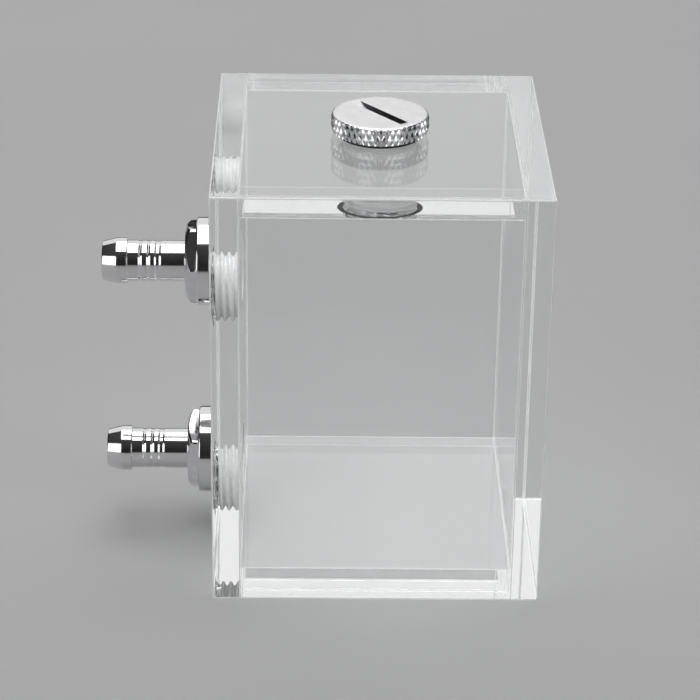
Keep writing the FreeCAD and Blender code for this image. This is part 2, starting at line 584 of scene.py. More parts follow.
@dataclass(frozen=True)
class Outline:
    """Outline to be turned about Z, as corners with rounded and divided runs."""

    corners: Sequence[Corner]
    closed: bool
    arc_steps: int = 4

    def points(self) -> list[tuple[float, float, Zone]]:
        """Works out the points of the outline.

        Returns:
            Radius, height and the zone of the run that follows, in millimetres.
        """
        found: list[tuple[float, float, Zone]] = []
        count = len(self.corners)
        for index, corner in enumerate(self.corners):
            for radius, height in self.rounded(index):
                found.append((radius, height, corner.zone))
            if index + 1 == count and not self.closed:
                break
            end = self.rounded((index + 1) % count)[0]
            start = found[-1]
            length = math.dist(start[:2], end)
            steps = math.ceil(length / corner.step) if corner.step else 1
            for step in range(1, steps):
                share = step / steps
                found.append((
                    start[0] + (end[0] - start[0]) * share,
                    start[1] + (end[1] - start[1]) * share,
                    corner.zone,
                ))
        return found

    def rounded(self, index: int) -> list[tuple[float, float]]:
        """Rounds one corner by its blend radius.

        Args:
            index: which corner.

        Returns:
            The corner itself, or the points of the arc that replaces it.
        """
        corner = self.corners[index]
        here = Vector((corner.radius, corner.height))
        if not corner.blend:
            return [tuple(here)]
        before = self.corners[index - 1]
        after = self.corners[(index + 1) % len(self.corners)]
        back = (Vector((before.radius, before.height)) - here).normalized()
        ahead = (Vector((after.radius, after.height)) - here).normalized()
        half = back.angle(ahead) / 2
        centre = here + (back + ahead).normalized() * (corner.blend / math.sin(half))
        first = here + back * (corner.blend / math.tan(half)) - centre
        last = here + ahead * (corner.blend / math.tan(half)) - centre
        sweep = first.angle_signed(last)
        return [
            tuple(centre + Matrix.Rotation(-sweep * step / self.arc_steps, 2) @ first)
            for step in range(self.arc_steps + 1)
        ]

    def turned(self, name: str, segments: int, start: float, finish: Finish) -> bpy.types.Mesh:
        """Turns the outline about Z.

        Args:
            name: name of the mesh.
            segments: steps round the axis.
            start: angle of the first step.
            finish: finish of the whole mesh.

        Returns:
            A mesh in metres with a zone on each face and a pattern mark on each point.
        """
        work = bmesh.new()
        zone_of = work.faces.layers.int.new(ZONE)
        mark_of = work.verts.layers.int.new(PATTERN)
        points = self.points()
        rings: list[list[bmesh.types.BMVert]] = []
        for index, (radius, height, zone) in enumerate(points):
            earlier = points[index - 1][2] if index or self.closed else zone
            mark = max(zone, earlier)
            steps = segments if radius > ON_AXIS else 1
            ring = []
            for step in range(steps):
                angle = start + FULL_TURN * step / segments
                vert = work.verts.new((
                    radius * math.cos(angle) * MM, radius * math.sin(angle) * MM, height * MM
                ))
                vert[mark_of] = mark
                ring.append(vert)
            rings.append(ring)
        pairs = list(zip(range(len(points)), rings, rings[1:]))
        if self.closed:
            pairs.append((len(points) - 1, rings[-1], rings[0]))
        for index, low, high in pairs:
            for step in range(segments):
                ends = [low[step % len(low)], low[(step + 1) % len(low)]]
                ends += [high[(step + 1) % len(high)], high[step % len(high)]]
                face = work.faces.new(list(dict.fromkeys(ends)))
                face[zone_of] = points[index][2]
                face.smooth = True
        bmesh.ops.recalc_face_normals(work, faces=work.faces)
        mesh = mesh_of(work, name)
        mesh.materials.append(finish.material())
        return mesh


class ShapeTree:
    """Geometry tree with named inputs, which ends by dressing what it made."""

    def __init__(self, name: str, sizes: Sequence[str]) -> None:
        """Starts the tree with its inputs.

        Args:
            name: name of the tree.
            sizes: names of its number inputs.
        """
        self.tree = bpy.data.node_groups.new(name, "GeometryNodeTree")
        face = self.tree.interface
        face.new_socket("Geometry", in_out="OUTPUT", socket_type="NodeSocketGeometry")
        face.new_socket("Geometry", in_out="INPUT", socket_type="NodeSocketGeometry")
        kinds = {size: "NodeSocketFloat" for size in sizes} | {"Finish": "NodeSocketMaterial"}
        self.keys = {
            label: face.new_socket(label, in_out="INPUT", socket_type=kind).identifier
            for label, kind in kinds.items()
        }
        self.build = NodeBuilder(self.tree)
        self.inputs = self.build.add("NodeGroupInput").outputs

    def end(self, made: bpy.types.NodeSocket, **which: bpy.types.NodeSocket) -> None:
        """Ends the tree by making instances real and setting the finish.

        Args:
            made: the geometry.
            **which: the Selection of the faces that take the finish, if not all do.
        """
        real = self.build.add("GeometryNodeRealizeInstances", Geometry=made).outputs[0]
        finish = self.inputs["Finish"]
        dressed = self.build.add("GeometryNodeSetMaterial", Geometry=real, Material=finish, **which)
        self.build.add("NodeGroupOutput", Geometry=dressed.outputs[0])

    def shape(self, mesh: bpy.types.Mesh, finish: Finish, sizes: dict[str, float]) -> bpy.types.Mesh:
        """Runs the tree on a mesh.

        Args:
            mesh: the mesh, which is used up.
            finish: finish of what the tree shapes.
            sizes: value of each number input, in metres or plain counts.

        Returns:
            The shaped mesh, with no modifier left.
        """
        values = {self.keys[size]: value for size, value in sizes.items()}
        values[self.keys["Finish"]] = finish.material()
        return modified(mesh, "NODES", {"node_group": self.tree}, values)


class BeadTree(ShapeTree):
    """Geometry tree that lays a round bead along every edge of a wire mesh."""

    def __init__(self) -> None:
        """Builds the tree."""
        super().__init__("cement_bead", ("Bead Radius",))
        add, radius = self.build.add, self.inputs["Bead Radius"]
        run = add("GeometryNodeMeshToCurve", Mesh=self.inputs["Geometry"]).outputs[0]
        ring = add("GeometryNodeCurvePrimitiveCircle", Resolution=BEAD_SIDES, Radius=radius).outputs[0]
        bead = add("GeometryNodeCurveToMesh", Curve=run, Profile_Curve=ring, Fill_Caps=True)
        self.end(bead.outputs[0])


class PatternTree(ShapeTree):
    """Geometry tree that trims the patterned points of a turned mesh to a rule."""

    def __init__(self, name: str, sizes: Sequence[str], zone: Zone) -> None:
        """Starts the tree with its inputs and the place of each point.

        Args:
            name: name of the tree.
            sizes: names of its number inputs.
            zone: the zone that the rule shapes.
        """
        super().__init__(name, sizes)
        self.zone = zone
        place = self.build.add("GeometryNodeInputPosition").outputs[0]
        self.axes = self.build.add("ShaderNodeSeparateXYZ", Vector=place).outputs
        maths = self.build.maths
        self.turn = maths("ARCTAN2", self.axes["Y"], self.axes["X"])
        square = maths("MULTIPLY", self.axes["X"], self.axes["X"])
        self.radius = maths("SQRT", maths("MULTIPLY_ADD", self.axes["Y"], self.axes["Y"], square))

    def marked(self, name: str) -> bpy.types.NodeSocket:
        """Selection of what carries this tree's zone.

        Args:
            name: attribute to read.

        Returns:
            The selection.
        """
        node = self.build.add("GeometryNodeInputNamedAttribute", {"data_type": "INT"}, Name=name)
        equal = self.build.add("FunctionNodeCompare", {"data_type": "INT", "operation": "EQUAL"})
        ends = [socket for socket in equal.inputs if socket.type == "INT"]
        value = next(socket for socket in node.outputs if socket.type == "INT")
        self.build.feed(ends[0], value)
        self.build.feed(ends[1], self.zone)
        return equal.outputs[0]

    def zigzag(self, steps: bpy.types.NodeSocket) -> bpy.types.NodeSocket:
        """Wave that falls straight from 1 to 0 and climbs back within each whole step."""
        maths = self.build.maths
        return maths("ABSOLUTE", maths("MULTIPLY_ADD", maths("FRACT", steps), 2.0, -1.0))

    def close(
        self, rule: bpy.types.NodeSocket, widen: bool, height: bpy.types.NodeSocket | None = None
    ) -> "PatternTree":
        """Moves the marked points to the rule and ends the tree.

        Args:
            rule: radius that the rule gives.
            widen: True to open a hole out to the rule, False to cut a body back to it.
            height: height that the rule gives, or None to leave each point at its own.

        Returns:
            This tree.
        """
        build = self.build
        wanted = build.maths("MAXIMUM" if widen else "MINIMUM", self.radius, rule)
        grow = build.maths("DIVIDE", wanted, build.maths("MAXIMUM", self.radius, TINY))
        place = build.add(
            "ShaderNodeCombineXYZ",
            X=build.maths("MULTIPLY", self.axes["X"], grow),
            Y=build.maths("MULTIPLY", self.axes["Y"], grow),
            Z=self.axes["Z"] if height is None else height,
        )
        moved = build.add(
            "GeometryNodeSetPosition",
            Geometry=self.inputs["Geometry"],
            Selection=self.marked(PATTERN),
            Position=place.outputs[0],
        )
        self.end(moved.outputs[0], Selection=self.marked(ZONE))
        return self


def thread_tree(widen: bool) -> PatternTree:
    """Tree for a right-hand screw thread with rounded crests.

    Args:
        widen: True for the thread in a port, False for the one on a shank.

    Returns:
        The tree.
    """
    sizes = ("Major", "Depth", "Pitch", "Start")
    made = PatternTree("port_thread" if widen else "shank_thread", sizes, Zone.THREAD)
    maths = made.build.maths
    climb = maths("DIVIDE", made.axes["Z"], made.inputs["Pitch"])
    lead = maths("ADD", maths("DIVIDE", made.turn, FULL_TURN), made.inputs["Start"])
    rounded = made.build.add(
        "ShaderNodeMapRange",
        {"interpolation_type": "SMOOTHSTEP"},
        Value=made.zigzag(maths("SUBTRACT", climb, lead)),
        From_Min=FLANK_RANGE[0],
        From_Max=FLANK_RANGE[1],
    )
    fall = maths("MULTIPLY", rounded.outputs["Result"], made.inputs["Depth"])
    return made.close(maths("SUBTRACT", made.inputs["Major"], fall), widen)


def knurl_tree() -> PatternTree:
    """Tree for a diamond knurl: two families of grooves that cross round the rim.

    Returns:
        The tree.
    """
    made = PatternTree("diamond_knurl", ("Crest", "Depth", "Count", "Rise", "Middle"), Zone.KNURL)
    maths = made.build.maths
    round_share = maths("DIVIDE", maths("MULTIPLY", made.turn, made.inputs["Count"]), FULL_TURN)
    lift = maths("SUBTRACT", made.axes["Z"], made.inputs["Middle"])
    climb = maths("DIVIDE", lift, made.inputs["Rise"])
    falls = [made.zigzag(maths(way, round_share, climb)) for way in ("ADD", "SUBTRACT")]
    fall = maths("MULTIPLY", maths("MAXIMUM", *falls), made.inputs["Depth"])
    return made.close(maths("SUBTRACT", made.inputs["Crest"], fall), False)


def hexagon_tree() -> PatternTree:
    """Tree for a hexagon milled on a turned collar, whose chamfer rises where the flats cut it.

    Returns:
        The tree.
    """
    sizes = ("Across", "Turn", "Foot", "Face Radius", "Face Height", "Slope")
    made = PatternTree("milled_hexagon", sizes, Zone.HEXAGON)
    maths = made.build.maths
    sixths = maths("DIVIDE", maths("SUBTRACT", made.turn, made.inputs["Turn"]), SIXTH_TURN)
    off = maths("MULTIPLY", maths("SUBTRACT", maths("FRACT", sixths), 0.5), SIXTH_TURN)
    flat = maths("DIVIDE", maths("MULTIPLY", made.inputs["Across"], 0.5), maths("COSINE", off))
    beyond = maths("SUBTRACT", maths("MINIMUM", made.radius, flat), made.inputs["Face Radius"])
    fall = maths("MULTIPLY", beyond, made.inputs["Slope"])
    chamfer = maths("SUBTRACT", made.inputs["Face Height"], fall)
    above_foot = maths("GREATER_THAN", made.axes["Z"], made.inputs["Foot"])
    rise = maths("SUBTRACT", chamfer, made.axes["Z"])
    return made.close(flat, False, maths("MULTIPLY_ADD", above_foot, rise, made.axes["Z"]))


@dataclass(frozen=True)
class PortThread:
    """G1/4 pipe thread in millimetres; its start and the clear part of its mouth are shares of a turn."""

    start: float = 0.0
    clear: float = 0.35
    major: float = 13.157
    pitch: float = 1.337
    depth: float = 0.856
    gap: float = 0.08
    lead_in: float = 0.15
    step: float = 0.11

    def sizes(self, gap: float) -> dict[str, float]:
        """Inputs of the thread trees.

        Args:
            gap: how far the thread stands off its mate.

        Returns:
            Sizes in metres by input name, and the start.
        """
        return {
            "Major": (self.major / 2 + gap) * MM,
            "Depth": self.depth * MM,
            "Pitch": self.pitch * MM,
            "Start": self.start,
        }


# The thread of each port, by the O-ring on it.
PORT_THREADS = {
    "fill_plug_o_ring": PortThread(),
    "upper_fitting_o_ring": PortThread(start=0.35),
    "lower_fitting_o_ring": PortThread(),
}
# Angle in degrees at which each fitting's hexagon stands.
HEX_TURNS = {Side.UPPER: 20.5, Side.LOWER: -5.7}


@dataclass(frozen=True)
class SealedShank:
    """What the plug and the barbs share below their head: thread and seal recess, in millimetres."""

    thread: PortThread = PortThread()
    reach: float = 4.6
    end_chamfer: float = 0.6
    plain: float = 0.1
    gap: float = 0.8
    recess_depth: float = 0.3
    recess: float = 7.9
    recess_edge: float = 0.1

    def corners(self, inner: float) -> list[Corner]:
        """Corners from the end of the shank up to the mouth of the recess.

        Args:
            inner: radius where the end of the shank starts.

        Returns:
            The corners.
        """
        step = self.thread.step
        radius = self.thread.major / 2
        top = self.gap + self.recess_depth
        return [
            Corner(inner, -self.reach),
            Corner(radius - self.end_chamfer, -self.reach, 0, Zone.THREAD, step),
            Corner(radius, self.end_chamfer - self.reach, 0, Zone.THREAD, step),
            Corner(radius, -self.plain),
            Corner(radius, top),
            Corner(self.recess, top),
            Corner(self.recess, self.gap, self.recess_edge),
        ]


def place_piece(
    name: str, mesh: bpy.types.Mesh, place: Matrix, body: str, node: str | None
) -> None:
    """Puts a finished mesh into the frame as the piece that stands for a node.

    Args:
        name: name of the piece.
        mesh: its mesh about its own axis, which is used up.
        place: where it goes.
        body: body that it rides on.
        node: node that it replaces, or None for a piece that only adds to its body.
    """
    mesh.transform(place)
    mesh.set_sharp_from_angle(angle=SHARP_ANGLE)
    piece = put_in_scene(name, modified(mesh, "WEIGHTED_NORMAL", {"keep_sharp": True}))
    piece.data.name = name
    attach(piece, body)
    if node:
        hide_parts(node)
    LOG.info("%s rides on %s and stands for %s", name, body, node or "no node")


def port_place(node: str) -> Matrix:
    """Place of a port's axis: its own Z runs out of the port, and Z = 0 is the sheet's face.

    Args:
        node: the O-ring on that port.

    Returns:
        The place.
    """
    low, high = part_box(node)
    middle = (low + high) / 2
    if node.startswith("fill_plug"):
        return Matrix.Translation((middle.x, middle.y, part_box("top_plate")[1].z))
    outward = Matrix.Rotation(math.radians(-90), 4, "Y")
    return Matrix.Translation((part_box("left_wall")[0].x, middle.y, middle.z)) @ outward


@dataclass
class AcrylicTank:
    """The six cemented sheets, with tapped ports. Sizes in millimetres."""

    edge_break: float = 0.3
    seam_break: float = 0.1
    bead: float = 0.1
    joint_gap: float = 0.01
    segments: int = 96
    sheets: tuple[str, ...] = (
        "left_wall",
        "right_wall",
        "front_wall",
        "back_wall",
        "top_plate",
        "bottom_plate",
    )

    def build(self) -> None:
        """Builds every sheet of the tank."""
        ports = {
            "left_wall": ["upper_fitting_o_ring", "lower_fitting_o_ring"],
            "top_plate": ["fill_plug_o_ring"],
        }
        for sheet in self.sheets:
            mesh = self.sheet_mesh(sheet, ports.get(sheet, []))
            place_piece("acrylic_" + sheet, mesh, Matrix(), "tank", sheet)
        place_piece("cement_beads", self.cement_beads(), Matrix(), "tank", None)

    def cement_beads(self) -> bpy.types.Mesh:
        """Runs a thin bead of set cement along every inner edge of the tank.

        Returns:
            The beads as one mesh.
        """
        low, high = self.cavity()
        inset = Vector((1, 1, 1)) * (self.bead + self.joint_gap) * MM
        low, high = low + inset, high - inset
        corners = [(x, y, z) for x in (low.x, high.x) for y in (low.y, high.y) for z in (low.z, high.z)]
        runs = [
            (one, two)
            for one in range(len(corners))
            for two in range(one)
            if sum(a != b for a, b in zip(corners[one], corners[two])) == 1
        ]
        wires = bpy.data.meshes.new("cavity_edges")
        wires.from_pydata(corners, runs, [])
        return BeadTree().shape(wires, CEMENT_FINISH, {"Bead Radius": self.bead * MM})

    def outside(self) -> tuple[Vector, Vector]:
        """Finds the box of the whole tank.

        Returns:
            Its lowest and its highest corner.
        """
        boxes = [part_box(sheet) for sheet in self.sheets]
        low = Vector([min(box[0][axis] for box in boxes) for axis in range(3)])
        high = Vector([max(box[1][axis] for box in boxes) for axis in range(3)])
        return low, high

    def cavity(self) -> tuple[Vector, Vector]:
        """Finds the box of the space for the coolant.

        Returns:
            Its lowest and its highest corner.
        """
        low = Vector((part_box("left_wall")[1].x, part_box("front_wall")[1].y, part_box("bottom_plate")[1].z))
        high = Vector((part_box("right_wall")[0].x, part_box("back_wall")[0].y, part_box("top_plate")[0].z))
        return low, high

    def sheet_mesh(self, sheet: str, seals: Sequence[str]) -> bpy.types.Mesh:
        """Builds one sheet as a closed mesh.

        Args:
            sheet: name of the sheet's node.
            seals: the O-ring on each port through it.

        Returns:
            The sheet, with open faces, cemented faces and tapped holes in their own finishes.
        """
        low, high = (corner.copy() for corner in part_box(sheet))
        outer_low, outer_high = self.outside()
        inner_low, inner_high = self.cavity()
        lines = []
        for axis in range(3):
            if low[axis] > outer_low[axis] + MM and high[axis] < outer_high[axis] - MM:
                low[axis] += self.joint_gap * MM
                high[axis] -= self.joint_gap * MM
            cuts = {low[axis], high[axis]}
            cuts |= {
                cut
                for cut in (inner_low[axis], inner_high[axis])
                if low[axis] + MM < cut < high[axis] - MM
            }
            lines.append(sorted(cuts))
        work = self.gridded_box(lines)
        for seal in seals:
            self.add_sleeve(work, seal)
        if seals:
            self.fill_round_ports(work, port_place(seals[0]))
        bmesh.ops.recalc_face_normals(work, faces=work.faces)
        self.dress(work)
        return self.broken_edges(work, sheet)

    @staticmethod
    def gridded_box(lines: Sequence[Sequence[float]]) -> bmesh.types.BMesh:
        """Closed box whose faces are divided along given lines.

        Args:
            lines: places of the lines on each axis, the box's own ends among them.

        Returns:
            The box.
        """
        work = bmesh.new()
        verts: dict[tuple[float, ...], bmesh.types.BMVert] = {}
        for axis in range(3):
            one, two = [other for other in range(3) if other != axis]
            for side in (lines[axis][0], lines[axis][-1]):
                for a, b in zip(lines[one], lines[one][1:]):
                    for c, d in zip(lines[two], lines[two][1:]):
                        ring = []
                        for first, second in ((a, c), (b, c), (b, d), (a, d)):
                            place = [0.0, 0.0, 0.0]
                            place[axis], place[one], place[two] = side, first, second
                            key = tuple(place)
                            if key not in verts:
                                verts[key] = work.verts.new(key)
                            ring.append(verts[key])
                        work.faces.new(ring)
        return work

    def add_sleeve(self, work: bmesh.types.BMesh, seal: str) -> None:
        """Adds the tapped wall of one port.

        Args:
            work: the sheet's mesh.
            seal: the O-ring on that port.
        """
        thread = PORT_THREADS[seal]
        sheet = (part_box("top_plate")[1].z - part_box("top_plate")[0].z) / MM
        minor = thread.major / 2 - thread.depth + thread.gap
        mouth = thread.major / 2 + thread.lead_in
        outline = Outline(
            (
                Corner(mouth, 0.0, 0, Zone.THREAD, thread.step),
                Corner(minor, minor - mouth, 0, Zone.THREAD, thread.step),
                Corner(minor, -sheet, 0, Zone.THREAD),
            ),
            closed=False,
        )
        sleeve = outline.turned("port_sleeve", self.segments, 0.0, TAPPED_FINISH)
        sleeve = thread_tree(True).shape(sleeve, TAPPED_FINISH, thread.sizes(thread.gap))
        self.clear_mouth(sleeve, thread)
        sleeve.transform(port_place(seal))
        work.from_mesh(sleeve)
        bpy.data.meshes.remove(sleeve)

    @staticmethod
    def clear_mouth(sleeve: bpy.types.Mesh, thread: PortThread) -> None:
        """Marks the start of a port's first turn, which the countersink leaves clear.

        Args:
            sleeve: the tapped wall about its own axis.
            thread: the port's thread.
        """
        zones = sleeve.attributes[ZONE].data
        for side in sleeve.polygons:
            turns_in = math.atan2(side.center.y, side.center.x) / FULL_TURN + thread.start
            turns_in -= side.center.z / (thread.pitch * MM)
            if turns_in < thread.clear:
                zones[side.index].value = Zone.MOUTH

    @staticmethod
    def fill_round_ports(work: bmesh.types.BMesh, place: Matrix) -> None:
        """Joins the ports' rims to the faces that they open in.

        Args:
            work: the sheet's mesh with its sleeves.
            place: place of the first port.
        """
        work.normal_update()
        axis = (place.to_3x3() @ Vector((0, 0, 1))).normalized()
        rims = [edge for edge in work.edges if len(edge.link_faces) == 1]
        opened = []
        for face in work.faces:
            if abs(face.normal.dot(axis)) < SQUARE_ON or len(face.verts) != 4:
                continue
            middle = face.calc_center_median()
            flat = place.translation - middle
            flat -= axis * flat.dot(axis)
            reach = [vert.co - middle for vert in face.verts]
            inside = all(abs(flat[k]) <= max(abs(r[k]) for r in reach) + TINY for k in range(3))
            if inside and max(r.length for r in reach) > LARGE_FACE:
                opened.append(face)
        for face in opened:
            level = face.calc_center_median().dot(axis)
            loops = list(face.edges) + [
                edge
                for edge in rims
                if all(abs(vert.co.dot(axis) - level) < SAME_PLACE for vert in edge.verts)
            ]
            work.faces.remove(face)
            bmesh.ops.triangle_fill(
                work, use_beauty=True, use_dissolve=False, edges=loops, normal=axis
            )

    def dress(self, work: bmesh.types.BMesh) -> None:
        """Gives each face its finish by where it lies, and marks the edges to be broken.

        Args:
            work: the sheet's mesh.
        """
        outer_low, outer_high = self.outside()
        inner_low, inner_high = self.cavity()
        weight_of = work.edges.layers.float.new(BEVEL_WEIGHT)
        zone_of = work.faces.layers.int.get(ZONE)
        open_faces = set()
        for face in work.faces:
            if zone_of is not None and face[zone_of] != Zone.PLAIN:
                threaded = face[zone_of] == Zone.THREAD
                face.material_index = SheetFace.TAPPED if threaded else SheetFace.CUT
                face.smooth = True
                continue
            centre = face.calc_center_median()
            outer = any(
                abs(face.normal[k]) > SQUARE_ON
                and min(abs(centre[k] - outer_low[k]), abs(centre[k] - outer_high[k])) < SAME_PLACE
                for k in range(3)
            )
            in_window = all(
                inner_low[k] - SAME_PLACE < centre[k] < inner_high[k] + SAME_PLACE for k in range(3)
            )
            if outer:
                open_faces.add(face)
            face.material_index = SheetFace.OPEN if outer or in_window else SheetFace.JOINT
            if outer and face.normal.y > SQUARE_ON and not inner_low.x < centre.x < inner_high.x:
                face.material_index = SheetFace.CUT
        for edge in work.edges:
            sides = [face in open_faces for face in edge.link_faces]
            if len(sides) != 2 or edge.calc_face_angle(0.0) < SQUARE_EDGE:
                continue
            if all(sides):
                edge[weight_of] = 1.0
            elif any(sides) and any(face.material_index == SheetFace.JOINT for face in edge.link_faces):
                edge[weight_of] = self.seam_break / self.edge_break

    def broken_edges(self, work: bmesh.types.BMesh, sheet: str) -> bpy.types.Mesh:
        """Breaks the marked edges, wide on the tank's outside and fine along the seams.

        Args:
            work: the sheet's mesh, which is used up.
            sheet: name of the sheet's node.

        Returns:
            The finished mesh.
        """
        mesh = mesh_of(work, sheet)
        for face in SheetFace:
            mesh.materials.append(SHEET_FINISHES[face].material())
        # The bevels take the whiter edge finish, a painted highlight.
        return bevelled(mesh, self.edge_break * MM, SheetFace.EDGE)


@dataclass
class FaceSeal:
    """O-ring squeezed under a head or flange. Sizes in millimetres."""

    node: str
    body: str
    shank: SealedShank = field(default_factory=SealedShank)
    outer: float = 7.8
    inner_fit: float = 0.05
    contact: float = 0.01
    top_gap: float = 0.02
    shoulder: float = 0.4
    squeeze: float = 0.15
    arc_steps: int = 6
    segments: int = 96

    def build(self) -> None:
        """Builds the ring on its port."""
        inner = self.shank.thread.major / 2 + self.inner_fit
        high = self.shank.gap + self.shank.recess_depth - self.top_gap
        outline = Outline(
            (
                Corner(inner, -self.contact, self.squeeze),
                Corner(self.outer, -self.contact, self.squeeze),
                Corner(self.outer, high, self.shoulder),
                Corner(inner, high, self.shoulder),
            ),
            closed=True,
            arc_steps=self.arc_steps,
        )
        mesh = outline.turned(self.node, self.segments, 0.0, RUBBER_FINISH)
        place = port_place(self.node)
        place_piece("rubber_" + self.node, mesh, place, self.body, self.node)


@dataclass
class FillPlug:
    """Knurled, slotted plug in the top plate. Sizes in millimetres, the slot's angle in degrees."""

    shank: SealedShank = field(default_factory=SealedShank)
    head: float = 9.0
    head_height: float = 3.2
    flat: float = 8.4
    flat_step: float = 1.0
    top_chamfer: float = 0.35
    chamfer_step: float = 0.2
    foot_chamfer: float = 0.25
    knurl_count: int = 48
    knurl_depth: float = 0.5
    knurl_rise: float = 2.6
    knurl_middle: float = 1.7
    columns: int = 8
    row: float = 0.325
    slot_length: float = 13.4
    slot_width: float = 1.7
    slot_depth: float = 1.8
    slot_angle: float = -51.4
    saw_segments: int = 240

    def build(self) -> None:
        """Builds the plug in its port."""
        top = self.shank.gap + self.head_height
        band_low = self.shank.gap + self.foot_chamfer
        band_high = top - self.top_chamfer
        knurl = Zone.KNURL
        corners = self.shank.corners(0.0) + [
            Corner(self.head - self.foot_chamfer, self.shank.gap, 0, knurl),
            Corner(self.head, band_low, 0, knurl, self.row),
            Corner(self.head, band_high, 0, knurl, self.chamfer_step),
            Corner(self.flat, top, 0, Zone.TOP_FACE, self.flat_step),
            Corner(0.0, top),
        ]
        segments = self.knurl_count * self.columns
        mesh = Outline(corners, closed=False).turned("fill_plug", segments, 0.0, CHROME_FINISH)
        mesh = thread_tree(False).shape(mesh, THREAD_FINISH, self.shank.thread.sizes(0.0))
        mesh = knurl_tree().shape(mesh, KNURL_FINISH, {
            "Crest": self.head * MM,
            "Depth": self.knurl_depth * MM,
            "Count": float(self.knurl_count),
            "Rise": self.knurl_rise * MM,
            "Middle": self.knurl_middle * MM,
        })
        self.face_top(mesh)
        mesh = self.slotted(mesh, top)
        place = port_place("fill_plug_o_ring")
        place_piece("chromed_fill_plug", mesh, place, "plug", "fill_plug")

    @staticmethod
    def face_top(mesh: bpy.types.Mesh) -> None:
        """Gives the flat top the finish that the lathe left on it.

        Args:
            mesh: the plug.
        """
        mesh.materials.append(FACE_FINISH.material())
        zones = mesh.attributes[ZONE].data
        for side in mesh.polygons:
            if zones[side.index].value == Zone.TOP_FACE:
                side.material_index = len(mesh.materials) - 1

    def slotted(self, mesh: bpy.types.Mesh, top: float) -> bpy.types.Mesh:
        """Saws the coin slot into the head.

        Args:
            mesh: the plug, which is used up.
            top: height of the head's flat top.

        Returns:
            The plug with its slot.
        """
        saw_radius = (self.slot_length**2 / 4 + self.slot_depth**2) / (2 * self.slot_depth)
        half = self.slot_width / 2
        rim = ((0.0, -half), (saw_radius, -half), (saw_radius, half), (0.0, half))
        outline = Outline([Corner(*place) for place in rim], closed=False)
        # The saw's flat sides make the slot's walls, in painted shade as near-black chrome; its rim makes the
        # slot's floor, in painted light as chrome lighter than the rest.
        saw = outline.turned("saw", self.saw_segments, 0.0, SLOT_WALL_PAINTED_SHADE)
        saw.materials.append(SLOT_FLOOR_PAINTED_LIGHT.material())
        for side in saw.polygons:
            side.material_index = int(abs(side.normal.z) < SQUARE_ON)
        turn = Matrix.Rotation(math.radians(self.slot_angle), 4, "Z")
        lift = Matrix.Translation((0, 0, (top - self.slot_depth + saw_radius) * MM))
        saw.transform(turn @ lift @ Matrix.Rotation(math.radians(90), 4, "X"))
        cutter = put_in_scene("saw", saw)
        slotted = modified(mesh, "BOOLEAN", {
            "operation": "DIFFERENCE",
            "solver": "EXACT",
            "material_mode": "TRANSFER",
            "object": cutter,
        })
        bpy.data.objects.remove(cutter)
        bpy.data.meshes.remove(saw)
        return slotted


